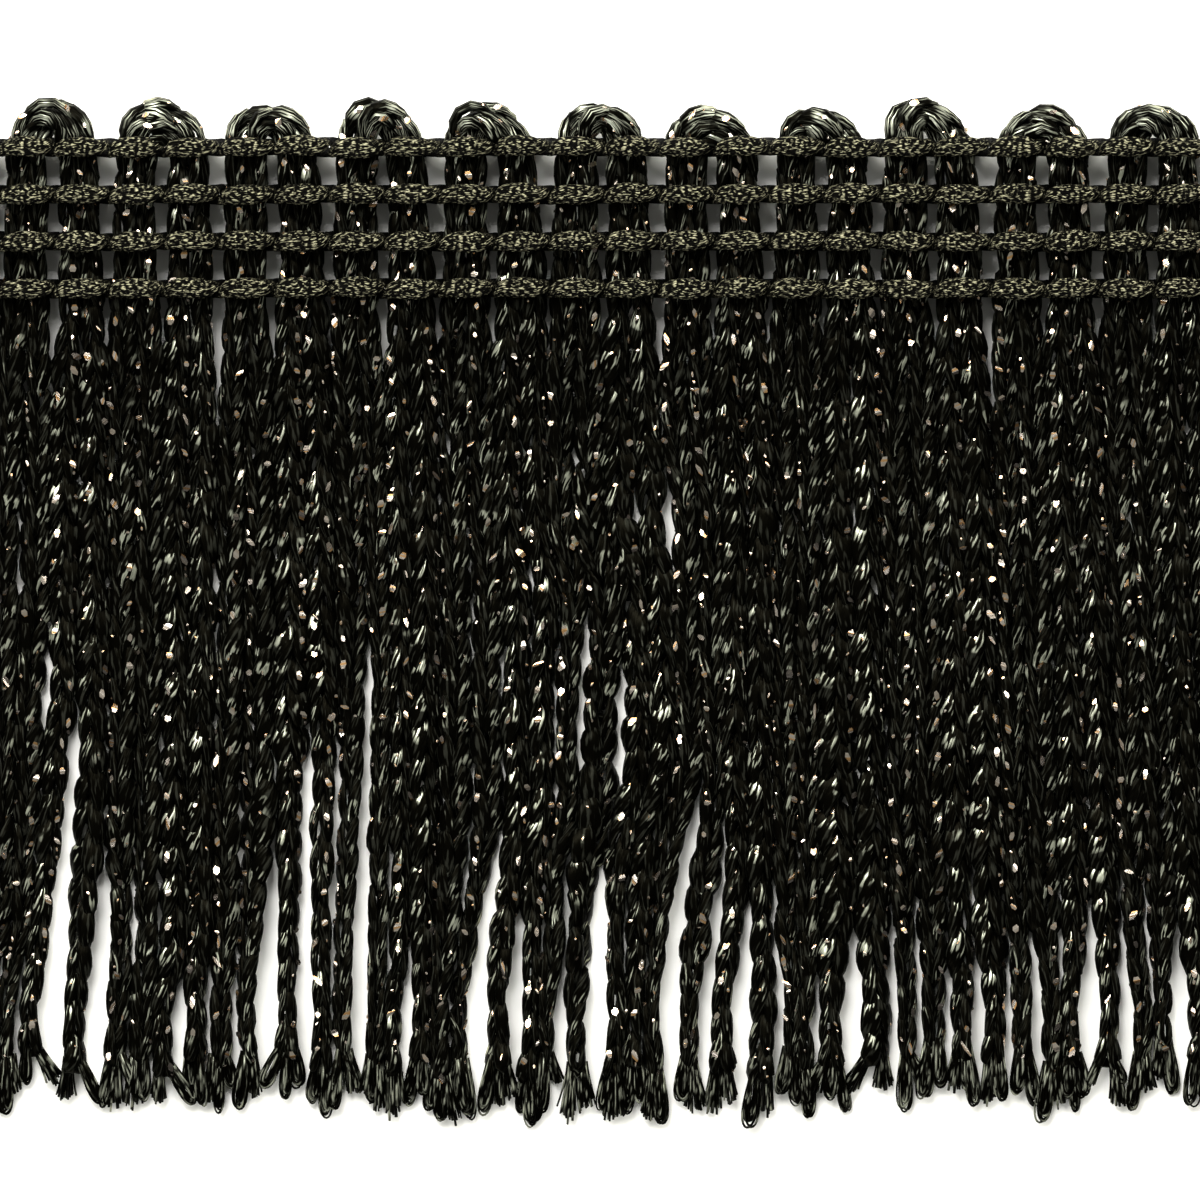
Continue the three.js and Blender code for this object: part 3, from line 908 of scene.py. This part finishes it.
def chainette_yarn(settings, loop, which):
    """The yarn of one chainette, stitch by stitch, from its left tip to its right tip."""
    rng = np.random.default_rng((KNIT_SEED, loop, which, 1))
    chain = chainette_line(settings, loop, which)
    stitches = int(round(chain.lengths[-1] / settings.stitch_length))
    sample = StitchPoint(*np.tile(stitch_samples(SAMPLES_PER_STITCH), (stitches, 1)).T)
    stitch = np.repeat(np.arange(stitches), SAMPLES_PER_STITCH)
    count = len(stitch)
    drift = STITCH_DRIFT * wander(rng, count, stitches)
    place = (stitch + sample.along + drift) * chain.lengths[-1] / stitches
    side = unit(at_places(place, chain.lengths, chain.sides))
    out = unit(at_places(place, chain.lengths, chain.facings))
    middle = at_places(place, chain.lengths, chain.line)
    heading = ease((middle[:, 1] - HEADING_FOOT) / HEADING_BLEND + 0.5)
    plain = 2 * (settings.leg_spacing + LEG_OUTSIDE * settings.yarn_breadth)
    breadth = np.interp(place, chain.lengths, chain.widths) / plain
    breadth = breadth * (1 + CHAINETTE_UNEVEN * wander(rng, count, 2 * stitches))
    thick = mix(1.0, HEADING_PLUMP, heading)
    across = sample.across * settings.leg_spacing * breadth
    across = across + YARN_JITTER * wander(rng, count, 3 * stitches)
    outward = sample.out * settings.depth * thick
    outward = outward + YARN_JITTER * wander(rng, count, 3 * stitches)
    points = middle + side * across[:, None] + out * outward[:, None]
    directions = unit(np.gradient(points, axis=0))
    facings = side * sample.facing_across[:, None] + out * sample.facing_out[:, None]
    half_breadths = 0.5 * settings.yarn_breadth * sample.breadth * breadth
    half_breadths = half_breadths * (1 + BREADTH_UNEVEN * wander(rng, count, 3 * stitches))
    half_thicknesses = 0.5 * settings.yarn_thickness * thick
    half_thicknesses = half_thicknesses * (1 + THICKNESS_UNEVEN * wander(rng, count, 3 * stitches))
    along = lengths_along(points) / MM
    return Yarn(points, directions, facings, half_breadths, half_thicknesses, along, stitches)


def painted_leg_highlight(loop, which, yarn):
    """How much the yarn shines: painted highlight where the lights fall on each leg, mostly the right leg.
    """
    rng = np.random.default_rng((KNIT_SEED, loop, which, 2))
    stitch, sample = np.divmod(np.arange(len(yarn.points)), SAMPLES_PER_STITCH)
    along = np.zeros(len(yarn.points))
    for leg in (LEFT_LEG, RIGHT_LEG):
        strength = rng.uniform(leg.least, leg.most, yarn.stitches)[stitch]
        along = along + strength * ease(SHINE_PEAK - np.abs(sample - leg.shiny) / SHINE_FADE)
    around = ease(mix(SIDE_SHINE, 1.0, np.sin(turns(YARN_CORNERS))))
    return along[:, None] * around[None, :]


def yarn_finish(settings, look):
    """Black filament yarn: fine filaments wind round it, and the shiny ones catch the light."""
    finish = Finish(look.name, {"Specular IOR Level": 0.02, "Specular Tint": WARM_GLOSS})
    uv = finish.wound(FILAMENT_SLANT)
    patches = finish.noise(uv, SHEEN_PATCHES)
    level = finish.axis(finish.place(), "Y")
    raised = finish.limits(level, SCALLOP_BASE, SCALLOP_BASE + RAISED_OVER)
    coarse = finish.noise(uv, (COARSE_FILAMENTS, look.strokes, 1.0))
    fine = finish.noise(uv, (FINE_FILAMENTS, FINE_STROKES * look.strokes, 1.0))
    filaments = coarse + raised * (fine - coarse)
    lit = finish.limits(filaments + RAISED_FILL * raised, look.lit_from, look.lit_from + FILAMENT_EDGE)
    # Painted highlight: the leg faces where the lights fall are made shiny
    painted_highlight = finish.node("ShaderNodeAttribute", {"attribute_name": PAINTED_HIGHLIGHT}, {}, "Fac")
    shown = painted_highlight + PATCHINESS * patches + RAISED_SHINE * raised + (look.evenly - PATCHINESS / 2)
    shiny = lit * (DULL_SHINE + (1 - DULL_SHINE) * finish.limits(shown, *SHOWN))
    finish.feed({
        "Base Color": finish.mix(shiny, tuple(settings.black), tuple(settings.grey_sheen)),
        "Metallic": shiny,
        "Roughness": 0.40 - 0.16 * patches,
        "Normal": finish.bump(filaments, strength=1.0, distance=0.05 * MM),
    })
    return finish.material


def film_finish(settings):
    """Thin metallic film, bronze to pale, a little crinkled."""
    finish = Finish("metallic_film", {"Metallic": 1.0})
    uv = finish.yarn_map()
    pale = finish.limits(finish.noise(uv, FILM_TINTS), *PALE_FILM)
    crinkle = finish.noise(uv, FILM_CRINKLES, 2.0)
    orange = finish.limits(finish.noise(uv, FILM_WARMTH, 0.0), *ORANGE_FILM)
    toned = finish.mix(pale, tuple(settings.film), tuple(settings.film_pale))
    finish.feed({
        "Base Color": finish.mix(orange, toned, tuple(settings.film_orange)),
        "Roughness": 0.18 + 0.14 * crinkle,
        "Normal": finish.bump(crinkle, strength=0.25, distance=0.03 * MM),
    })
    return finish.material


def cord_finish(settings):
    """Dull brown-black cord of fine crimped filaments: painted highlight specks, painted shade low down."""
    finish = Finish("brown_black_cord", {"Specular IOR Level": 0.03})
    uv = finish.yarn_map()
    specks = finish.noise(uv, CORD_SPECKS)
    crimp = finish.noise(uv, CORD_CRIMP, 0.0)
    # Painted shade: the cord's specks fade out low down, where it dives between the columns
    height = finish.axis(finish.place(), "Z")
    unshaded = finish.limits(height, UNSHADED_CORD[0] * HEADING_TOP, UNSHADED_CORD[1] * HEADING_TOP)
    # Painted highlight: pale specks where the filaments catch the light
    pale = finish.limits(specks, *HIGHLIGHT_SPECKS) * finish.limits(crimp, *HIGHLIGHT_CRIMP) * unshaded
    finish.feed({
        "Base Color": finish.mix(pale, tuple(settings.brown_black), tuple(settings.speck_highlight)),
        "Roughness": 0.68 - 0.25 * pale,
        "Normal": finish.bump(specks + 0.5 * crimp, strength=1.0, distance=0.2 * MM),
    })
    return finish.material


def attach(piece, slot, *nodes):
    """Rides a piece on the trim's body and hides the solids that it stands for."""
    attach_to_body(piece, BODY)
    if nodes:
        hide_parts(*nodes)


class FRINGE_OT_knit_chainettes(Operator):
    """Knit the doubled chainettes of every loop"""

    bl_idname = "fringe.knit_chainettes"
    bl_label = "Knit Chainettes"

    def execute(self, context):
        settings = context.scene.fringe_chainette
        material = yarn_finish(settings, KNIT_LOOK)
        for loop, node in enumerate(LOOP_NODES):
            joined = Joined()
            for which in range(2):
                yarn = chainette_yarn(settings, loop, which)
                rings = oval_rings(yarn.points, yarn.directions, yarn.facings, yarn.half_breadths,
                                   yarn.half_thicknesses, YARN_CORNERS)
                joined.tube(rings, yarn.along, painted_highlight=painted_leg_highlight(loop, which, yarn))
            piece = joined.piece(node.replace("chainette_loop", "chainette_knit"), material)
            attach(piece, "chainette", node)
        return {"FINISHED"}


def lay_filament(joined, rng, points, turn_share):
    """Adds a loose filament along a line of points."""
    directions = unit(np.gradient(points, axis=0))
    half = np.full(len(points), rng.uniform(*FILAMENT_HALVES) * MM)
    turn = rng.random()
    rings = oval_rings(points, directions, np.tile(UP, (len(points), 1)), half, half, FILAMENT_CORNERS)
    joined.tube(rings, lengths_along(points) / MM + FILAMENT_MAPS * rng.random(), (turn, turn + turn_share))


def leaning_ways(lean):
    """The ways forward and across of an end that leans aside from the drop."""
    forward = np.array([math.sin(lean), -math.cos(lean), 0.0])
    across = np.array([math.cos(lean), math.sin(lean), 0.0])
    return forward, across


def tuft(joined, rng, start, lean, reach, width):
    """Loose filaments that spread from the last stitch, curl a little and are cut bluntly."""
    forward, across = leaning_ways(lean)
    count = int(width / FILAMENT_SPACING)
    steps = np.linspace(0, 1, TUFT_STEPS)[:, None]
    for index in range(count):
        aside = 2 * (index + 0.5) / count - 1
        length = reach * (TUFT_FULL - TUFT_ROUND * aside ** 2 + TUFT_UNEVEN * rng.normal())
        spread = 0.5 * mix(TUFT_ROOT, width, steps ** TUFT_SPREAD) * aside
        curl = TUFT_CURL * rng.normal() * steps ** 2
        crown = TUFT_CROWN * (1 - aside ** 2) * np.sin(CROWN_TURN * steps)
        height = (crown - TIP_DROOP * steps + TUFT_LOFT * rng.normal() * steps) * MM
        points = start + forward * length * steps + across * (spread + curl) + UP * height
        lay_filament(joined, rng, points, TUFT_TURN)


def folded_end(joined, rng, start, lean, reach):
    """A finger of yarn: filaments that run down close together, bend round and run back."""
    forward, across = leaning_ways(lean)
    breadth = rng.uniform(*FOLD_BREADTHS) * MM
    shut = rng.uniform(*FOLD_SHUT)
    arch = rng.uniform(*FOLD_ARCH)
    bend = np.linspace(0, np.pi, FOLD_STEPS)
    out = np.sin(bend) ** FOLD_BLUNT
    for index in range(FOLD_FILAMENTS):
        outer = (index + 0.5) / FOLD_FILAMENTS
        ahead = reach * (mix(FOLD_NEAR, 1.0, outer) + FOLD_UNEVEN * rng.normal()) * out
        aside = -breadth * mix(FOLD_INNER, 1.0, outer) * np.cos(bend) * mix(shut, 1.0, out)
        aside = aside + FOLD_SCATTER * rng.normal() * out
        loft = FOLD_STACK * (1 - outer) + FOLD_LOFT * rng.normal()
        height = (arch * np.sin(ARCH_TURN * out) - TIP_DROOP * out + loft) * MM
        points = start + forward * ahead[:, None] + across * aside[:, None] + UP * height[:, None]
        lay_filament(joined, rng, points, FOLD_TURN)


def fray_tip(joined, settings, loop, place):
    """Adds a strand's cut end: fingers of yarn that fold back on themselves, and loose tufts."""
    rng = np.random.default_rng((TIP_SEED, loop, place))
    strand = loop * STRANDS_PER_LOOP + place
    tip = TIP_LEVELS[strand]
    root = tip + TUFT_LENGTH + TUFT_HOLD
    middles = strand_place(settings, strand, np.array([root, tip]))
    widths = strand_width(strand, np.array([root, tip]))
    fingers = rng.integers(FEWEST_FINGERS, MOST_FINGERS + 1)
    longest = rng.integers(0, fingers)
    for finger in range(fingers):
        aside = (finger - (fingers - 1) / 2) / fingers
        reach = (root - tip) * (1.0 if finger == longest else rng.uniform(*SHORT_FINGERS))
        begin = middles[0] + FINGER_ROOTS * widths[0] * aside
        start = np.array([begin, root, rng.uniform(*FINGER_HEIGHTS) * MM])
        end = middles[1] + FINGER_ENDS * widths[1] * aside + FINGER_WANDER * rng.normal()
        lean = math.atan2(end - begin, root - tip)
        if rng.random() < STRAY_SHARE:
            lean = lean + math.copysign(rng.uniform(*STRAY_LEANS), aside)
            reach = STRAY_REACH * reach
        if rng.random() < TUFT_SHARE:
            tuft(joined, rng, start, lean, TUFT_REACH * reach, rng.uniform(*TUFT_WIDTHS) * MM)
        else:
            folded_end(joined, rng, start, lean, FOLD_REACH * reach)


class FRINGE_OT_fray_tips(Operator):
    """Fray the cut ends of the strands into fingers and tufts"""

    bl_idname = "fringe.fray_tips"
    bl_label = "Fray Tips"

    def execute(self, context):
        settings = context.scene.fringe_chainette
        material = yarn_finish(settings, TIP_LOOK)
        for loop, node in enumerate(LOOP_NODES):
            joined = Joined()
            for place in range(STRANDS_PER_LOOP):
                fray_tip(joined, settings, loop, place)
            piece = joined.piece(node.replace("chainette_loop", "frayed_tips"), material)
            attach(piece, "chainette")
        return {"FINISHED"}


def facet(joined, settings, rng, yarn, sample, scale):
    """One facet of film on the yarn: a thin strip, a little bent, at a small random tilt."""
    index = int(np.clip(round(sample), 1, len(yarn.points) - 2))
    forward = yarn.directions[index]
    out = square_to(yarn.facings[index], forward)
    side = np.cross(forward, out)
    tilt = FILM_TILT * rng.normal()
    twist = FILM_TWIST * rng.normal()
    out = unit(out + FILM_UPWARD * UP + tilt * side + FILM_TILT * rng.normal() * forward)
    forward = square_to(forward + twist * side, out)
    side = np.cross(forward, out)
    length = scale * settings.film_length * rng.uniform(*FILM_LENGTHS)
    half_width = 0.5 * scale * settings.film_width * rng.uniform(*FILM_WIDTHS)
    bend = rng.normal() * FILM_BEND
    base = yarn.points[index] + out * (yarn.half_thicknesses[index] + FILM_LIFT)
    sag = np.abs(FILM_STEPS) * abs(bend) * length
    points = base + forward * (FILM_STEPS * length)[:, None] - out * sag[:, None]
    slant = rng.normal() * FILM_SLANT * length * FILM_CORNERS[:, :1] * forward
    edges = side * FILM_CORNERS[:, :1] * half_width + slant
    rings = points[:, None, :] + FILM_TAPER[:, None, None] * edges
    rings = rings + out * FILM_CORNERS[:, 1:] * FILM_HALF_THICKNESS
    joined.tube(rings, FILM_STEPS + rng.random() * FILM_MAPS)


def either_leg(rng):
    """One of the two legs of a stitch."""
    return LEFT_LEG if rng.random() < 0.5 else RIGHT_LEG


def lay_film(joined, settings, loop, which):
    """Adds the film of one chainette: it comes round to nearly the same place in every stitch."""
    rng = np.random.default_rng((FILM_SEED, loop, which))
    yarn = chainette_yarn(settings, loop, which)
    leg = either_leg(rng)
    drift = wander(rng, yarn.stitches, max(3, yarn.stitches // DRIFT_STITCHES))
    for stitch in range(yarn.stitches):
        if rng.random() > settings.film_share:
            continue
        if rng.random() < LEG_CHANGE:
            leg = RIGHT_LEG if leg is LEFT_LEG else LEFT_LEG
        first = stitch * SAMPLES_PER_STITCH
        share = ease(0.5 + FILM_DRIFT * drift[stitch] + FILM_SCATTER * rng.normal())
        facet(joined, settings, rng, yarn, first + mix(leg.first, leg.last, share), 1.0)
        for _ in range(rng.integers(1, MOST_SPECKS + 1)):
            other = either_leg(rng)
            speck = rng.uniform(other.first, other.last)
            facet(joined, settings, rng, yarn, first + speck, rng.uniform(*SPECK_SCALES))


class FRINGE_OT_lay_film(Operator):
    """Lay facets of metallic film along the legs of the stitches"""

    bl_idname = "fringe.lay_film"
    bl_label = "Lay Film"

    def execute(self, context):
        settings = context.scene.fringe_chainette
        material = film_finish(settings)
        for loop, node in enumerate(LOOP_NODES):
            joined = Joined()
            for which in range(2):
                lay_film(joined, settings, loop, which)
            piece = joined.piece(node.replace("chainette_loop", "metallic_film"), material, smooth=False)
            attach(piece, "chainette")
        return {"FINISHED"}


def twine_cord(joined, settings, row, which):
    """Adds one cord of a row: over one column, down between columns and under the next."""
    rng = np.random.default_rng((CORD_SEED, row, which))
    count = POINTS_PER_COLUMN * COLUMN_COUNT
    x = np.linspace(-TRIM_LENGTH / 2 - CORD_STUB, TRIM_LENGTH / 2 + CORD_STUB, count)
    phase = np.pi * ((x + TRIM_LENGTH / 2) / COLUMN_PITCH - 0.5 + which)
    swing = np.cos(phase)
    half_thickness = settings.thickness / 2
    low, high = half_thickness, HEADING_TOP - half_thickness - CORD_SINK
    z = mix(low, high, 0.5 + 0.5 * np.tanh(CORD_STEEPNESS * swing) / math.tanh(CORD_STEEPNESS))
    passing = CORD_PASSING * np.sin(phase) ** PASSING_POWER
    y = ROW_LEVELS[row] + passing + CORD_WANDER * wander(rng, count, COLUMN_COUNT)
    points = np.stack([x, y, z], -1)
    directions = unit(np.gradient(points, axis=0))
    lens = np.clip((np.abs(swing) - LENS_START) / (1 - LENS_START), 0.0, 1.0) ** LENS_POWER
    full = lens * (1 + LENS_UNEVEN * wander(rng, count, 2 * COLUMN_COUNT))
    half_breadths = 0.5 * mix(settings.neck, settings.breadth, full)
    half_thicknesses = mix(NECK_THICKNESS, 1.0, full) * half_thickness
    facings = np.tile(CORD_FACING, (count, 1))
    rings = oval_rings(points, directions, facings, half_breadths, half_thicknesses, CORD_CORNERS)
    joined.tube(rings, lengths_along(points) / MM + CORD_MAPS * which + ROW_MAPS * row)


class FRINGE_OT_twine_cords(Operator):
    """Twine the pairs of heading cords around the columns"""

    bl_idname = "fringe.twine_cords"
    bl_label = "Twine Cords"

    def execute(self, context):
        settings = context.scene.fringe_heading
        material = cord_finish(settings)
        for row, node in enumerate(ROW_NODES):
            joined = Joined()
            for which in range(2):
                twine_cord(joined, settings, row, which)
            piece = joined.piece(node.replace("heading_cord", "twined_cord"), material)
            attach(piece, "heading_cord", node)
        return {"FINISHED"}


def floor_finish(settings):
    """Plain pale surface, a little cloudy."""
    finish = Finish("pale_surface", {"Roughness": 0.9, "Specular IOR Level": 0.1})
    cloudy = finish.noise(finish.place(), FLOOR_CLOUDS, 2.0)
    paler = tuple(min(1.0, PALER * part) for part in settings.floor)
    finish.feed({"Base Color": finish.mix(cloudy, tuple(settings.floor), paler)})
    return finish.material


def lay_floor(scene, settings):
    """The pale surface that the trim lies on."""
    mesh = bpy.data.meshes.new("pale_surface")
    near, far = -FLOOR_REACH, FLOOR_REACH
    mesh.from_pydata([(near, near, 0), (far, near, 0), (far, far, 0), (near, far, 0)], [], [(0, 1, 2, 3)])
    mesh.materials.append(floor_finish(settings))
    surface = bpy.data.objects.new("pale_surface", mesh)
    scene.collection.objects.link(surface)


def area_light(name, place, size, power, colour, mirrored=True):
    """A flat light that faces the trim, in metres; shiny finishes mirror it unless mirrored is off."""
    data = bpy.data.lights.new(name, "AREA")
    data.shape = "RECTANGLE"
    data.size, data.size_y = size
    data.energy = power
    data.color = colour
    light = bpy.data.objects.new(name, data)
    light.location = place
    light.visible_glossy = mirrored
    aim = -light.location
    light.rotation_euler = aim.to_track_quat("-Z", "Y").to_euler()
    bpy.context.scene.collection.objects.link(light)


def light_trim(settings):
    """The lights round the trim."""
    area_light("key", (-0.12, 0.38, 0.36), (0.24, 0.40), settings.key_power, WARM_WHITE)
    for side in (-1, 1):
        area_light("beyond", (0.30 * side, 0.32, 0.36), (0.20, 0.40), settings.beyond_power, WARM_WHITE)
        area_light("side", (0.42 * side, 0.05, 0.36), (0.80, 0.16), settings.side_power, PALE_YELLOW, False)
    area_light("front", (-0.25, -0.38, 0.28), (0.30, 0.20), settings.front_power, WHITE)
    area_light("low", (0.0, 0.50, 0.16), (0.50, 0.10), settings.low_power, PALE_YELLOW, False)
    area_light("overhead", (0.0, 0.0, 1.0), (1.2, 1.2), settings.overhead_power, SOFT_YELLOW, False)
    area_light("ceiling", (0.0, 0.0, 1.1), (1.3, 1.3), settings.ceiling_power, PALE_YELLOW)


def aim_camera(scene, settings):
    """The camera, straight above the trim."""
    camera = bpy.data.cameras.new("camera")
    camera.lens = settings.lens
    camera.clip_start = 0.01
    distance = settings.view_width * settings.lens / camera.sensor_width
    holder = bpy.data.objects.new("camera", camera)
    holder.location = (settings.view_place, settings.view_level, distance + STRAND_RIDE)
    scene.collection.objects.link(holder)
    scene.camera = holder


class FRINGE_OT_set_stage(Operator):
    """Set up the pale surface, the lights, the sky and the camera"""

    bl_idname = "fringe.set_stage"
    bl_label = "Set Stage"

    def execute(self, context):
        scene = context.scene
        settings = scene.fringe_stage
        lay_floor(scene, settings)
        light_trim(settings)
        world = bpy.data.worlds.new("sky")
        world.use_nodes = True
        world.node_tree.nodes["Background"].inputs["Color"].default_value = (*settings.sky, 1.0)
        scene.world = world
        scene.view_settings.view_transform = "Standard"
        aim_camera(scene, settings)
        return {"FINISHED"}


class FRINGE_PT_sidebar(Panel):
    """Lists the steps that make the trim and the values that they use"""

    bl_idname = "FRINGE_PT_sidebar"
    bl_label = "Chainette Fringe"
    bl_space_type = "VIEW_3D"
    bl_region_type = "UI"
    bl_category = "Fringe"

    def draw(self, context):
        column = self.layout.column()
        for step in STEPS:
            column.operator(step.bl_idname)
        for group, kind in SETTINGS.items():
            for name in kind.__annotations__:
                column.prop(getattr(context.scene, group), name)


STEPS = (
    FRINGE_OT_set_stage,
    FRINGE_OT_knit_chainettes,
    FRINGE_OT_fray_tips,
    FRINGE_OT_lay_film,
    FRINGE_OT_twine_cords,
)
SETTINGS = {
    "fringe_chainette": FringeChainette,
    "fringe_heading": FringeHeading,
    "fringe_stage": FringeStage,
}
CLASSES = (*SETTINGS.values(), *STEPS, FRINGE_PT_sidebar)


def register():
    for kind in CLASSES:
        bpy.utils.register_class(kind)
    for name, kind in SETTINGS.items():
        setattr(bpy.types.Scene, name, PointerProperty(type=kind))


def unregister():
    for name in SETTINGS:
        delattr(bpy.types.Scene, name)
    for kind in reversed(CLASSES):
        bpy.utils.unregister_class(kind)


def main():
    """Makes the whole trim and its stage."""
    register()
    bpy.ops.fringe.set_stage()
    bpy.ops.fringe.knit_chainettes()
    bpy.ops.fringe.fray_tips()
    bpy.ops.fringe.lay_film()
    bpy.ops.fringe.twine_cords()


if __name__ == "__main__":
    main()
